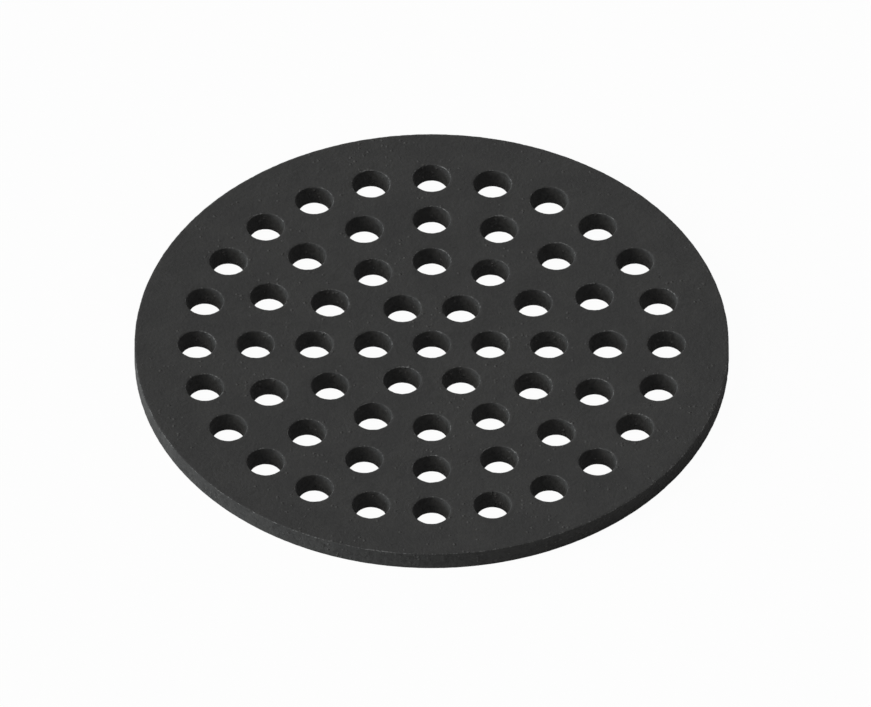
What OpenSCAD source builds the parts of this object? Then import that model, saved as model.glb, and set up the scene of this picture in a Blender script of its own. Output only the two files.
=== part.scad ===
// Floor drain cover: a flat round casting that drops into the recess of a floor drain's body.
// One piece, pierced by concentric rings of drainage holes that narrow towards the underside.
// Sizes are in millimetres, +Z is up, and the origin is the centre of the underside.

/* [Plate] */
// Outside diameter of the cover
plate_d = 196.85; // [160:0.05:300]
// Thickness of the cover
plate_t = 6.65; // [4:0.05:14]
// Radius of the two softened rim edges
rim_edge_r = 0.3; // [0.1:0.05:1.5]

/* [Drainage holes] */
// Diameter of a hole where its wall meets the top face
hole_d = 12.3; // [7:0.1:15]
// Draft of a hole's wall in degrees
hole_draft = 8; // [1:0.5:12]
// How far a hole's edge is broken, at both faces
hole_edge = 0.2; // [0.1:0.05:1]
// Solid land between the outermost holes and the rim, at the top face
rim_land = 14.55; // [4:0.05:20]

/* [Hole pattern] */
// Holes in the first ring around the middle hole
ring_1_holes = 6; // [3:1:8]
// Holes in the second ring
ring_2_holes = 12; // [3:1:16]
// Holes in the third ring
ring_3_holes = 16; // [3:1:25]
// Holes in the outermost ring
ring_4_holes = 24; // [3:1:34]

/* [Hidden] */

plate_r = plate_d / 2;
hole_r = hole_d / 2;

// The rings share one spacing, which puts the outermost holes against the solid land
ring_holes = [ring_1_holes, ring_2_holes, ring_3_holes, ring_4_holes];
ring_pitch = (plate_r - rim_land - hole_r) / len(ring_holes);

iron = "#393939";
rim_fn = 240;
hole_fn = 64;
edge_fn = 32;

// Half section of the blank: a flat disc whose rim is upright between two softened edges
module blank_section() {
    translate([0, rim_edge_r]) square([plate_r, plate_t - 2 * rim_edge_r]);
    square([plate_r - rim_edge_r, plate_t]);
    for (z = [rim_edge_r, plate_t - rim_edge_r])
        translate([plate_r - rim_edge_r, z]) circle(r = rim_edge_r, $fn = edge_fn);
}

// Radius of a hole's wall at a height: the draft narrows it from the top face down
function wall_r(z) = hole_r - (plate_t - z) * tan(hole_draft);

// Half section of what one drainage hole takes away: a tapered well that opens at 45 degrees where
// its edges are broken, and goes on past both faces by as much again
module hole_section() {
    low = hole_edge;
    high = plate_t - hole_edge;
    flare = 2 * hole_edge;
    polygon([
        [0, -hole_edge],
        [wall_r(low) + flare, -hole_edge],
        [wall_r(low), low],
        [wall_r(high), high],
        [wall_r(high) + flare, plate_t + hole_edge],
        [0, plate_t + hole_edge]
    ]);
}

module drainage_hole() {
    rotate_extrude($fn = hole_fn) hole_section();
}

// A ring of evenly spaced holes, the first one on +X
module hole_ring(count, radius) {
    for (i = [0 : count - 1])
        rotate(360 * i / count) translate([radius, 0]) drainage_hole();
}

// The middle hole and the rings around it
module hole_pattern() {
    drainage_hole();
    for (ring = [1 : len(ring_holes)])
        hole_ring(ring_holes[ring - 1], ring * ring_pitch);
}

module drain_cover() {
    color(iron)
    difference() {
        rotate_extrude($fn = rim_fn) blank_section();
        hole_pattern();
    }
}

drain_cover();
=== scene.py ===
# %% [markdown]
# Floor drain cover. The real object is one flat round iron casting, pierced by rings of drainage holes and
# dipped in a thin black coating. There is nothing to assemble, so the whole lesson is about one mesh and one
# material: how to pierce a plate cleanly, how to keep its edges crisp but not razor sharp, and how to make
# black iron look like black iron. We start by loading the measured model, which fixes every size and place.

# %% Load the frame
import bmesh
import bpy
from math import cos, pi, radians, sin, tan
from mathutils import Euler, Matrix, Vector, kdtree, noise


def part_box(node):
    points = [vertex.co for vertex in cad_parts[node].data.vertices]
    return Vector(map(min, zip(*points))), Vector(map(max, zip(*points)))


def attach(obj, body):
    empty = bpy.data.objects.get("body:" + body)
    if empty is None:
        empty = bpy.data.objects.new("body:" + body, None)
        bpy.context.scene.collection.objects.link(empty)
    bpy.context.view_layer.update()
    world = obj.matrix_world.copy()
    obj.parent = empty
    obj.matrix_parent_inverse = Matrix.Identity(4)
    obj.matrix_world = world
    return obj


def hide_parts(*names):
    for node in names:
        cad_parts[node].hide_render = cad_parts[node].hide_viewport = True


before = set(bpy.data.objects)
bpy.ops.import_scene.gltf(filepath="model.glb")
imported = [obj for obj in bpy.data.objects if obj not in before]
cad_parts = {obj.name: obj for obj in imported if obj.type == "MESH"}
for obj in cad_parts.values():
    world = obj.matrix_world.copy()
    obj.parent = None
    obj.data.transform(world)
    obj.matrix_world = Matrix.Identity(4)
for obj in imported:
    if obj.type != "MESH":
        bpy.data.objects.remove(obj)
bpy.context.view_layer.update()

MM = 0.001

# %% [markdown]
# The rim's radius and the thickness come from the frame, so they can't drift away from it. The holes are
# described as a foundry drawing would: one diameter at the top face, the draft that lets the pattern leave
# the sand, and how many holes each ring has. The rings share one spacing, which follows from the solid land
# that is left inside the rim.

# %% Sizes of the casting
NODE = "drain_cover"
low_corner, high_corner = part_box(NODE)
RIM_R = high_corner.x
THICK = high_corner.z

HOLE_R = 6.15 * MM
DRAFT = radians(8)
HOLE_EDGE = 0.2 * MM
RIM_EDGE = 0.3 * MM
RIM_LAND = 14.55 * MM
RINGS = (6, 12, 16, 24)
ring_pitch = (RIM_R - RIM_LAND - HOLE_R) / len(RINGS)


def ring_centres():
    """Where the holes are: one in the middle, then each ring, with its first hole on +X."""
    centres = [Vector((0, 0, 0))]
    for ring, count in enumerate(RINGS, start=1):
        for i in range(count):
            turn = 2 * pi * i / count
            centres.append(Vector((cos(turn), sin(turn), 0)) * ring * ring_pitch)
    return centres


centres = ring_centres()
print(len(centres), "holes on rings", round(ring_pitch / MM, 2), "mm apart")

# %% [markdown]
# The camera looks down at 45 degrees without any perspective: the rim's far half and near half are the same
# ellipse in the picture. An orthographic camera does that. Its scale is the width of the picture in metres,
# which follows from the number of pixels that the cover takes up. The cover stands a little left of and above
# the middle of the picture, so the camera is moved by that much, straight across its own view.

# %% Camera
PICTURE_W = 871
COVER_HALF_W_PX = 297.3
TOP_CENTRE_PX = Vector((-3.85, 9.42))
ELEVATION = radians(45.04)
CAMERA_DISTANCE = 3.0

metres_per_px = RIM_R / COVER_HALF_W_PX
camera_data = bpy.data.cameras.new("camera")
camera_data.type = "ORTHO"
camera_data.ortho_scale = PICTURE_W * metres_per_px
camera = bpy.data.objects.new("camera", camera_data)
bpy.context.scene.collection.objects.link(camera)
bpy.context.scene.camera = camera

turn = Euler((pi / 2 - ELEVATION, 0, 0))
aim = Vector((0, 0, THICK)) - turn.to_matrix() @ TOP_CENTRE_PX.to_3d() * metres_per_px
camera.rotation_euler = turn
camera.location = aim + turn.to_matrix() @ Vector((0, 0, CAMERA_DISTANCE))
print("a picture", round(camera_data.ortho_scale, 4), "m wide")

# %% [markdown]
# How to pierce a plate? A boolean with dozens of cutters leaves long slivers that show up later as seams. It
# is cleaner to build the edges first and the flat faces last. The rim is a half section of four points, spun
# once round the upright axis: a flat ring, the upright side, and a flat ring again. A full spin has to merge
# its last step with its first. The flat rings give the bevel something even to slide along.

# %% Spin the rim
RIM_STEPS = 1200
RING_W = 1.0 * MM

casting = bmesh.new()


def spin_section(section, steps):
    """Turns a half section, given as (radius, height) points, once round the upright axis."""
    before = len(casting.verts)
    verts = [casting.verts.new((r, 0, z)) for r, z in section]
    edges = [casting.edges.new(pair) for pair in zip(verts, verts[1:])]
    bmesh.ops.spin(casting, geom=verts + edges, axis=(0, 0, 1), angle=2 * pi, steps=steps, use_merge=True)
    casting.verts.ensure_lookup_table()
    return casting.verts[before:]


rim = spin_section([(RIM_R - RING_W, THICK), (RIM_R, THICK), (RIM_R, 0), (RIM_R - RING_W, 0)], RIM_STEPS)
print("the rim has", len(rim), "vertices")

# %% [markdown]
# A drainage hole is spun in the same way: a flat ring, the mouth, the drafted wall, the lower mouth and a
# flat ring. Sand crumbles a little where a peg is drawn out of it, so the face rolls off by a hair over the
# last millimetre before the mouth, at first slowly and then faster. The wall gets a few rows, so that it can
# be roughened later. All the holes are alike, so the middle one is made once and the others are copies of it,
# each moved to its own place. That is what the pattern maker does too, with one turned peg for each hole.

# %% Spin one hole and copy it
HOLE_STEPS = 96
ROLL_W = 0.8 * MM
ROLL_DEPTH = 0.06 * MM
HALF_UP = THICK / 2


def wall_r(z):
    """Radius of a hole's drafted wall at a height."""
    return HOLE_R - (THICK - z) * tan(DRAFT)


wall_heights = [THICK - ROLL_DEPTH, THICK - ROLL_W, HALF_UP, 0]
hole_section = [(HOLE_R + RING_W, THICK), (HOLE_R + ROLL_W, THICK)]
hole_section += [(HOLE_R + ROLL_W / 2, THICK - ROLL_DEPTH / 4)]
hole_section += [(wall_r(z), z) for z in wall_heights]
hole_section += [(wall_r(0) + RING_W, 0)]

middle_hole = spin_section(hole_section, HOLE_STEPS)
middle_verts = set(middle_hole)
middle_hole += [e for e in casting.edges if middle_verts.issuperset(e.verts)]
middle_hole += [f for f in casting.faces if middle_verts.issuperset(f.verts)]
for centre in centres[1:]:
    copy = bmesh.ops.duplicate(casting, geom=middle_hole)["geom"]
    copied_verts = [item for item in copy if isinstance(item, bmesh.types.BMVert)]
    bmesh.ops.translate(casting, vec=centre, verts=copied_verts)
print("with its holes the casting has", len(casting.verts), "vertices")

# %% [markdown]
# Now the two flat faces. The open edges at each height are the outlines of one face with many holes in it,
# and triangle_fill closes it in one go. The result is a watertight solid, which is what lets the bevel, the
# normals and a printer trust it.

# %% Fill the top and the underside
SAME_HEIGHT = 0.1 * MM

for height, up in ((THICK, 1), (0, -1)):
    outline = [e for e in casting.edges if e.is_boundary and abs(e.verts[0].co.z - height) < SAME_HEIGHT]
    bmesh.ops.triangle_fill(casting, use_beauty=True, edges=outline, normal=(0, 0, up))
bmesh.ops.recalc_face_normals(casting, faces=casting.faces)
print("open edges left:", sum(not e.is_manifold for e in casting.edges))

# %% [markdown]
# Iron never leaves the sand with a knife edge. The corners are found by the angle between their two faces and
# rounded by a fraction of a millimetre. It is tiny, yet it is what catches the light round every mouth. The
# mouths are rounded a little more than the rest, because the peg was drawn out through them. The lower
# edges of the holes make do with fewer segments, as nobody looks at them closely.

# %% Soften the edges
CORNER = radians(60)
MOUTH_EDGE = 0.31 * MM
FINE_SEGMENTS = 4
PLAIN_SEGMENTS = 2


def corner_edges(lowest, highest, inner):
    """The sharp edges between two heights, of the holes if inner is true and of the rim if not."""
    found = []
    for e in casting.edges:
        x, y, z = e.verts[0].co
        if lowest <= z <= highest and (Vector((x, y)).length < RIM_R - RING_W) == inner:
            if e.calc_face_angle() > CORNER:
                found.append(e)
    return found


def soften(edges, offset, segments):
    """Rounds edges with a bevel of the given width."""
    bmesh.ops.bevel(
        casting, geom=edges, offset=offset, offset_type="OFFSET", segments=segments,
        profile=0.5, affect="EDGES", material=-1, clamp_overlap=True,
    )


soften(corner_edges(HALF_UP, THICK, True), MOUTH_EDGE, FINE_SEGMENTS)
soften(corner_edges(0, HALF_UP, True), HOLE_EDGE, PLAIN_SEGMENTS)
soften(corner_edges(0, THICK, False), RIM_EDGE, FINE_SEGMENTS)
print("softened, the casting has", len(casting.faces), "faces")

# %% [markdown]
# Sand leaves its mark, and two values help to draw it. The first is how near a point is to an upper edge,
# because edges crumble in the mould and the coating later rubs thin there. The second is how upright the
# surface is: the walls and the rim were pressed by coarser sand than the flat faces. A tree of the holes'
# centres finds the nearest mouth quickly.

# %% How near to an upper edge
FADE_DOWNWARDS = 2

nearest_hole = kdtree.KDTree(len(centres))
for index, centre in enumerate(centres):
    nearest_hole.insert(centre, index)
nearest_hole.balance()


def edge_nearness(point):
    """1 on the softened upper edges, falling to 0 over the width of the roll, faster downwards."""
    flat = Vector((point.x, point.y, 0))
    from_rim = RIM_R - flat.length
    from_mouth = nearest_hole.find(flat)[2] - HOLE_R
    below = FADE_DOWNWARDS * (THICK - point.z)
    apart = min(Vector((from_rim, below)).length, Vector((from_mouth, below)).length)
    return max(0, 1 - max(0, apart - HOLE_EDGE) / ROLL_W)


print("nearness at the middle mouth:", round(edge_nearness(Vector((HOLE_R, 0, THICK))), 2))

# %% [markdown]
# A slow wander and a finer one push the walls, the rim and the edges inwards by a few hundredths of a
# millimetre, so a highlight that runs along an edge breaks up as it does on a real casting. The top and the
# underside stay flat: their weight is nothing, because they face straight up or down. Nothing is ever pushed
# outwards, so the rim keeps its size. The upper edges also crumble: they sink a little, more in one place
# than in the next. Each vertex stores its two values, and the material reads them later.

# %% Roughen the cast skin
MEAN_PUSH = 0.05 * MM
LEAST_PUSH = 0.01 * MM
SLOW_WANDER = 0.09 * MM
SLOW_SIZE = 2.5 * MM
FINE_WANDER = 0.09 * MM
FINE_SIZE = 0.6 * MM
CRUMBLE = 0.12 * MM
CRUMBLE_SIZE = 1.3 * MM
CRUMBLE_MEAN = 0.3

edge_layer = casting.verts.layers.float.new("edge")
upright_layer = casting.verts.layers.float.new("upright")
casting.normal_update()
pushes = []
for v in casting.verts:
    upright = 1 - v.normal.z ** 2
    slow = noise.noise(v.co / SLOW_SIZE) * SLOW_WANDER
    fine = noise.noise(v.co / FINE_SIZE) * FINE_WANDER
    nearness = edge_nearness(v.co)
    sunk = nearness * CRUMBLE * max(0, CRUMBLE_MEAN + noise.noise(v.co / CRUMBLE_SIZE))
    inwards = max(LEAST_PUSH, MEAN_PUSH + slow + fine)
    pushes.append(v.normal * upright * inwards + Vector((0, 0, sunk)))
    v[edge_layer] = nearness
    v[upright_layer] = upright
for v, push in zip(casting.verts, pushes):
    v.co -= push
print("deepest push", round(max(p.length for p in pushes) / MM, 3), "mm")

# %% [markdown]
# The finished mesh becomes the piece that stands for the measured model. Smooth shading would bend the light
# where a flat face meets its small rounded edge, so a Weighted Normal modifier lets the large face decide.

# %% The casting
mesh = bpy.data.meshes.new("drain_cover_casting")
for f in casting.faces:
    f.smooth = True
casting.to_mesh(mesh)
casting.free()
cover = bpy.data.objects.new("drain_cover_casting", mesh)
bpy.context.scene.collection.objects.link(cover)
weighted = cover.modifiers.new("weighted_normal", "WEIGHTED_NORMAL")
weighted.mode = "FACE_AREA"
weighted.keep_sharp = True
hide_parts(NODE)
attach(cover, "root")
print(sum(len(p.vertices) - 2 for p in mesh.polygons), "triangles")

# %% [markdown]
# The finish is built from a few effects, each a node group of its own, with named inputs and outputs. Two
# small tools start such a group and wire it up.

# %% Tools for node groups
VALUE = "NodeSocketFloat"
VECTOR = "NodeSocketVector"


def new_group(name, inputs, outputs):
    """A node group, from (name, kind) pairs, with what it is given and what it has to fill in."""
    group = bpy.data.node_groups.new(name, "ShaderNodeTree")
    for title, kind in inputs:
        group.interface.new_socket(title, in_out="INPUT", socket_type=kind)
    for title, kind in outputs:
        group.interface.new_socket(title, in_out="OUTPUT", socket_type=kind)
    return group, group.nodes.new("NodeGroupInput").outputs, group.nodes.new("NodeGroupOutput").inputs


def feed(tree, source, socket):
    """Sets a socket from a number or a colour, or links it to another node's output."""
    if isinstance(source, bpy.types.NodeSocket):
        tree.links.new(source, socket)
    else:
        socket.default_value = source


print("new_group and feed are ready")

# %% [markdown]
# Then there is one tool for each kind of node that turns up again and again. Sizes are given in millimetres,
# as one would measure them on the casting, and a noise's Scale is lumps per metre.

# %% Tools for nodes
MM_IN_A_METRE = 1000


def calc(tree, operation, first, second):
    """What a Math node makes of two values."""
    node = tree.nodes.new("ShaderNodeMath")
    node.operation = operation
    feed(tree, first, node.inputs[0])
    feed(tree, second, node.inputs[1])
    return node.outputs[0]


def cloud(tree, where, size_mm, detail):
    """A soft noise with lumps of about the given size."""
    node = tree.nodes.new("ShaderNodeTexNoise")
    feed(tree, where, node.inputs["Vector"])
    feed(tree, MM_IN_A_METRE / size_mm, node.inputs["Scale"])
    feed(tree, detail, node.inputs["Detail"])
    return node.outputs[0]


def stretch(tree, value, low, high, to_low=0.0, to_high=1.0):
    """Maps low to high onto another range, smoothly, and holds it at both ends."""
    node = tree.nodes.new("ShaderNodeMapRange")
    node.interpolation_type = "SMOOTHSTEP"
    for socket, source in zip(node.inputs, (value, low, high, to_low, to_high)):
        feed(tree, source, socket)
    return node.outputs[0]


def mix(tree, share, first, second):
    """Blends two colours."""
    node = tree.nodes.new("ShaderNodeMix")
    node.data_type = "RGBA"
    colour_inputs = [i for i in node.inputs if i.type == "RGBA"]
    feed(tree, share, node.inputs[0])
    feed(tree, first, colour_inputs[0])
    feed(tree, second, colour_inputs[1])
    return next(o for o in node.outputs if o.type == "RGBA")


print("calc, cloud, stretch and mix are ready")

# %% [markdown]
# Sand grain. A casting keeps the print of the sand: a grain under a millimetre, flattened by the coating, on
# slow lumps of a few millimetres. The walls have coarse hollows as well. The group gives a height for the
# bump, a slow mottle that varies the colour and the sheen, and the dark blotches of the walls, which are
# darkest where those hollows are deepest.

# %% Sand grain
GRAIN_MM, LUMP_MM, HOLLOW_MM, PATCH_MM = 0.9, 2.6, 1.6, 12.0
PATCH_RANGE, GRAIN_RANGE, BLOTCH_RANGE = (0.38, 0.62), (0.3, 0.7), (0.5, 0.64)
MOTTLE_HALF = 0.5

sand_grain, given, result = new_group(
    "sand_grain",
    [("Place", VECTOR), ("Upright", VALUE), ("Lumps", VALUE)],
    [("Height", VALUE), ("Mottle", VALUE), ("Blotches", VALUE)],
)
grain = cloud(sand_grain, given["Place"], GRAIN_MM, detail=3.0)
slow = cloud(sand_grain, given["Place"], LUMP_MM, detail=2.0)
lumps = calc(sand_grain, "MULTIPLY", slow, given["Lumps"])
hollows = cloud(sand_grain, given["Place"], HOLLOW_MM, detail=3.0)
coarse = calc(sand_grain, "MULTIPLY", calc(sand_grain, "MULTIPLY", hollows, given["Upright"]), -1.0)
height = calc(sand_grain, "ADD", calc(sand_grain, "ADD", grain, lumps), coarse)
sand_grain.links.new(height, result["Height"])

wide = cloud(sand_grain, given["Place"], PATCH_MM, detail=4.0)
patchy = stretch(sand_grain, wide, *PATCH_RANGE, to_high=MOTTLE_HALF)
grainy = stretch(sand_grain, grain, *GRAIN_RANGE, to_high=MOTTLE_HALF)
sand_grain.links.new(calc(sand_grain, "ADD", patchy, grainy), result["Mottle"])

deep = stretch(sand_grain, hollows, *BLOTCH_RANGE)
sand_grain.links.new(calc(sand_grain, "MULTIPLY", deep, given["Upright"]), result["Blotches"])
print("sand_grain has", len(sand_grain.nodes), "nodes")

# %% [markdown]
# Stray grains. Here and there a grain of sand sits in the coating, a raised speck under a millimetre wide.
# Voronoi cells scatter the specks: each cell holds one dot, a random value picks the few cells that show
# theirs, and a slow cloud gathers them in loose groups. Share says how many show, and Dot how wide they are.

# %% Stray grains
CELL_MM, GATHERING_MM = 1.5, 14.0
GATHER_RANGE = (0.42, 0.62)
FLAT_TOP = 0.06

stray_grains, given, result = new_group(
    "stray_grains",
    [("Place", VECTOR), ("Share", VALUE), ("Dot", VALUE)],
    [("Specks", VALUE)],
)
cells = stray_grains.nodes.new("ShaderNodeTexVoronoi")
cells.inputs["Scale"].default_value = MM_IN_A_METRE / CELL_MM
stray_grains.links.new(given["Place"], cells.inputs["Vector"])
dots = stretch(stray_grains, cells.outputs["Distance"], given["Dot"], FLAT_TOP)

chance = stray_grains.nodes.new("ShaderNodeSeparateColor")
stray_grains.links.new(cells.outputs["Color"], chance.inputs[0])
gathering = cloud(stray_grains, given["Place"], GATHERING_MM, detail=2.0)
gathered = stretch(stray_grains, gathering, *GATHER_RANGE)
limit = calc(stray_grains, "MULTIPLY", gathered, given["Share"])
chosen = calc(stray_grains, "LESS_THAN", chance.outputs[0], limit)
stray_grains.links.new(calc(stray_grains, "MULTIPLY", dots, chosen), result["Specks"])
print("stray_grains has", len(stray_grains.nodes), "nodes")

# %% [markdown]
# Rubbed edges. Where boots, trolleys and the stacked covers rub, the coating is thin and smoother along the
# upper edges, and the iron shows through in small nicks. The mesh says how near each point is to an edge, and
# two clouds break that band into nicks. Spared is the level above which the coating has gone. What makes a
# nick sparkle is less its colour than its smoothness: it throws the lamp's light back in one narrow
# direction, so only the side that faces the lamp glitters.

# %% Rubbed edges
NICK_MM, RUB_MM = 0.75, 5.0
RUB_PULL, EDGE_PULL, NICK_RISE = 0.6, 0.5, 0.1
RUB_RANGE = (0.3, 0.7)
LEAST_THIN = 0.4

rubbed_edge, given, result = new_group(
    "rubbed_edge",
    [("Place", VECTOR), ("Nearness", VALUE), ("Spared", VALUE)],
    [("Nicks", VALUE), ("Thin", VALUE)],
)
nicks = cloud(rubbed_edge, given["Place"], NICK_MM, detail=2.0)
patches = cloud(rubbed_edge, given["Place"], RUB_MM, detail=1.0)
broken = calc(rubbed_edge, "ADD", nicks, calc(rubbed_edge, "MULTIPLY", patches, RUB_PULL))
inset = calc(rubbed_edge, "MULTIPLY", calc(rubbed_edge, "SUBTRACT", given["Nearness"], 1.0), EDGE_PULL)
worn = calc(rubbed_edge, "ADD", broken, inset)
bare = calc(rubbed_edge, "ADD", given["Spared"], NICK_RISE)
rubbed_edge.links.new(stretch(rubbed_edge, worn, given["Spared"], bare), result["Nicks"])

thin = stretch(rubbed_edge, patches, *RUB_RANGE, to_low=LEAST_THIN)
rubbed_edge.links.new(calc(rubbed_edge, "MULTIPLY", thin, given["Nearness"]), result["Thin"])
print("rubbed_edge has", len(rubbed_edge.nodes), "nodes")

# %% [markdown]
# Black dipped iron is almost a plain dark grey: it returns about four parts in a hundred of the light, in
# all directions, with only a dull sheen. What makes it iron and not plastic is the skin, so the three effects
# come together here. Stray grains are commoner on the walls than on the flat faces.

# %% Black iron and its skin
SHEEN_LEVEL = 0.15
LUMP_SHARE = 1.0
FACE_CROWD, WALL_CROWD = 0.17, 0.3
DOT_SIZE = 0.44
SPARED = 0.8

iron = bpy.data.materials.new("black_dipped_iron")
iron.use_nodes = True
tree = iron.node_tree
shader = tree.nodes["Principled BSDF"]
shader.inputs["Specular IOR Level"].default_value = SHEEN_LEVEL
place = tree.nodes.new("ShaderNodeTexCoord").outputs["Object"]


def stored(title):
    """The value that each vertex of the casting carries under a name."""
    node = tree.nodes.new("ShaderNodeAttribute")
    node.attribute_name = title
    return node.outputs["Fac"]


def effect(group, **values):
    """Places a node group in the material, with its own values."""
    node = tree.nodes.new("ShaderNodeGroup")
    node.node_tree = group
    feed(tree, place, node.inputs["Place"])
    for title, value in values.items():
        feed(tree, value, node.inputs[title])
    return node.outputs


skin = effect(sand_grain, Upright=stored("upright"), Lumps=LUMP_SHARE)
crowd = calc(tree, "ADD", calc(tree, "MULTIPLY", stored("upright"), WALL_CROWD), FACE_CROWD)
specks = effect(stray_grains, Share=crowd, Dot=DOT_SIZE)["Specks"]
rub = effect(rubbed_edge, Nearness=stored("edge"), Spared=SPARED)
print("the skin has", len(tree.nodes), "nodes")

# %% [markdown]
# The colour comes first. Mottle shifts the grey very slightly between a darker cool one and a paler warm one.
# Blotches are darker, and stray grains and nicks are paler, as iron is under its coating.

# %% Colour
COOL_IRON = (0.0315, 0.0315, 0.0316, 1)
WARM_IRON = (0.0415, 0.0414, 0.0408, 1)
DEEP_IRON = (0.016, 0.016, 0.016, 1)
PALE_GRAIN = (0.07, 0.069, 0.067, 1)
RUBBED_IRON = (0.1, 0.1, 0.1, 1)
BLOTCH_SHARE, SPECK_SHARE = 0.45, 0.6

colour = mix(tree, skin["Mottle"], COOL_IRON, WARM_IRON)
colour = mix(tree, calc(tree, "MULTIPLY", skin["Blotches"], BLOTCH_SHARE), colour, DEEP_IRON)
colour = mix(tree, calc(tree, "MULTIPLY", specks, SPECK_SHARE), colour, PALE_GRAIN)
colour = mix(tree, rub["Nicks"], colour, RUBBED_IRON)
tree.links.new(colour, shader.inputs["Base Color"])
print("the greys lie between", DEEP_IRON[0], "and", RUBBED_IRON[0])

# %% [markdown]
# Then the sheen and the bump. The paler mottle is a touch smoother, and the rubbed edges and their nicks are
# smoother still. The sand's print, the stray grains and the nicks all stand in the bump, whose depth is a
# real one: a sixth of a millimetre for a height of 1.

# %% Sheen and bump
DULLEST, LESS_DULL = 0.53, 0.48
THIN_SMOOTH, NICK_SMOOTH = 0.11, 0.2
SPECK_HEIGHT, NICK_HEIGHT = 1.8, 0.3
BUMP_DEPTH = 0.16 * MM

roughness = stretch(tree, skin["Mottle"], 0.0, 1.0, DULLEST, LESS_DULL)
thin_smooth = calc(tree, "MULTIPLY", rub["Thin"], THIN_SMOOTH)
smooth = calc(tree, "ADD", thin_smooth, calc(tree, "MULTIPLY", rub["Nicks"], NICK_SMOOTH))
roughness = calc(tree, "SUBTRACT", roughness, smooth)
tree.links.new(roughness, shader.inputs["Roughness"])

height = calc(tree, "ADD", skin["Height"], calc(tree, "MULTIPLY", specks, SPECK_HEIGHT))
height = calc(tree, "ADD", height, calc(tree, "MULTIPLY", rub["Nicks"], NICK_HEIGHT))
bump = tree.nodes.new("ShaderNodeBump")
bump.inputs["Distance"].default_value = BUMP_DEPTH
tree.links.new(height, bump.inputs["Height"])
tree.links.new(bump.outputs["Normal"], shader.inputs["Normal"])
mesh.materials.append(iron)
print("the finish has", len(tree.nodes), "nodes")

# %% [markdown]
# The studio is a plain pale floor. A grid of one face is enough for it.

# %% Floor
FLOOR_HALF = 12.0

floor_mesh = bpy.data.meshes.new("floor")
floor_bm = bmesh.new()
bmesh.ops.create_grid(floor_bm, x_segments=1, y_segments=1, size=FLOOR_HALF)
floor_bm.to_mesh(floor_mesh)
floor_bm.free()
floor = bpy.data.objects.new("floor", floor_mesh)
bpy.context.scene.collection.objects.link(floor)
print("a floor", 2 * FLOOR_HALF, "m wide")

# %% [markdown]
# To the camera the floor is white by itself, so that the holes show white as well. The light and the
# reflections meet it as a matt pale grey surface: in the dull sheen of a wall or the rim only the strip of
# floor beside it shows, and that strip lies in the cover's own shadow. A small part of what the camera sees
# is that matt surface too, and keeps a trace of the shadow.

# %% White floor
FLOOR_GLOW = 0.97
FLOOR_GREY = (0.7, 0.7, 0.7, 1)


def seen_by(tree, kinds):
    """A value that is 1 for the named kinds of ray and 0 for all others."""
    rays = tree.nodes.new("ShaderNodeLightPath")
    total = rays.outputs[kinds[0]]
    for kind in kinds[1:]:
        total = calc(tree, "MAXIMUM", total, rays.outputs[kind])
    return total


paper = bpy.data.materials.new("white_floor")
paper.use_nodes = True
tree = paper.node_tree
tree.nodes.remove(tree.nodes["Principled BSDF"])
matt = tree.nodes.new("ShaderNodeBsdfDiffuse")
matt.inputs["Color"].default_value = FLOOR_GREY
glow = tree.nodes.new("ShaderNodeEmission")
white_share = calc(tree, "MULTIPLY", seen_by(tree, ("Is Camera Ray", "Is Transmission Ray")), FLOOR_GLOW)
blend = tree.nodes.new("ShaderNodeMixShader")
tree.links.new(white_share, blend.inputs["Fac"])
tree.links.new(matt.outputs[0], blend.inputs[1])
tree.links.new(glow.outputs[0], blend.inputs[2])
tree.links.new(blend.outputs[0], tree.nodes["Material Output"].inputs["Surface"])
floor_mesh.materials.append(paper)
print("the floor is", FLOOR_GLOW, "white by itself")

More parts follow.
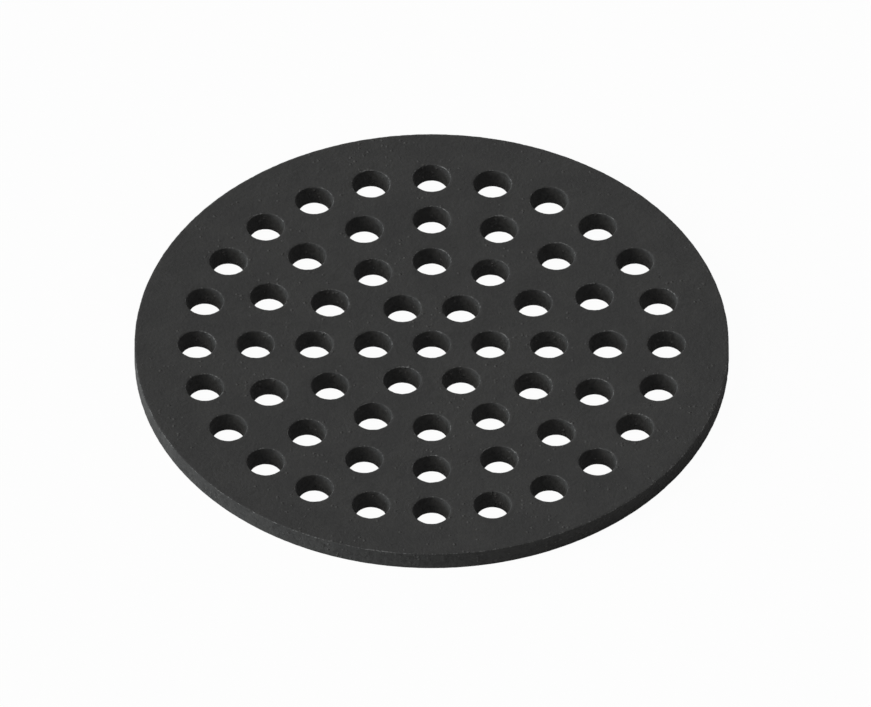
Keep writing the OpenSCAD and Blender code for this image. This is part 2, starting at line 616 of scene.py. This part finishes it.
# %% [markdown]
# A tall soft lamp stands close to the left: it makes the left rim bright, leaves the left wall of each hole
# dark, and lets the right wall fade with depth, because deep down only the lamp's upper part still shines in.
# Three sun lamps, one above the other, stand for its foot, its middle and its top, and light the whole plate
# evenly. The foot is a little cooler than the rest, so the rim is too. It lies so low that the flat top, seen
# from the far side, would mirror it and turn white, so it is kept out of the sheen. A weak lamp to the right
# of the camera opens the shadows.

# %% Lamps
COOL_LIGHT = (0.89, 0.96, 1.0)
WARM_LIGHT = (1.0, 0.985, 0.945)
WHITE_LIGHT = (1.0, 1.0, 1.0)

# Each lamp's bearing, height, strength, spread and tint, and whether it shows in the sheen
LAMPS = {
    "tall_lamp_foot": (174, 8.5, 3.25, 20, COOL_LIGHT, False),
    "tall_lamp_middle": (161, 25, 1.0, 25, WARM_LIGHT, True),
    "tall_lamp_top": (165, 42, 1.1, 30, WARM_LIGHT, True),
    "fill": (64, 42, 0.56, 30, WHITE_LIGHT, True),
}


def add_lamp(name, bearing, height, strength, spread, tint, in_sheen):
    """A sun lamp that shines from a bearing and a height above the floor, all in degrees."""
    data = bpy.data.lights.new(name, "SUN")
    data.energy = strength
    data.color = tint
    data.angle = radians(spread)
    lamp = bpy.data.objects.new(name, data)
    lamp.visible_glossy = in_sheen
    towards = Vector((cos(radians(bearing)), -sin(radians(bearing)), tan(radians(height))))
    lamp.rotation_euler = towards.to_track_quat("Z", "Y").to_euler()
    bpy.context.scene.collection.objects.link(lamp)


for name, values in LAMPS.items():
    add_lamp(name, *values)
print(len(LAMPS), "lamps")

# %% [markdown]
# The room round it all is white, to the camera and in the sheen, but it adds no light of its own to the matt
# surfaces. The Standard view shows each colour about as it is written.

# %% White room
world = bpy.data.worlds.new("room")
bpy.context.scene.world = world
world.use_nodes = True
tree = world.node_tree
backdrop = tree.nodes["Background"]
backdrop.inputs["Color"].default_value = (1, 1, 1, 1)
room_white = seen_by(tree, ("Is Camera Ray", "Is Glossy Ray", "Is Transmission Ray"))
tree.links.new(room_white, backdrop.inputs["Strength"])

bpy.context.scene.view_settings.view_transform = "Standard"
print("the view transform is", bpy.context.scene.view_settings.view_transform)
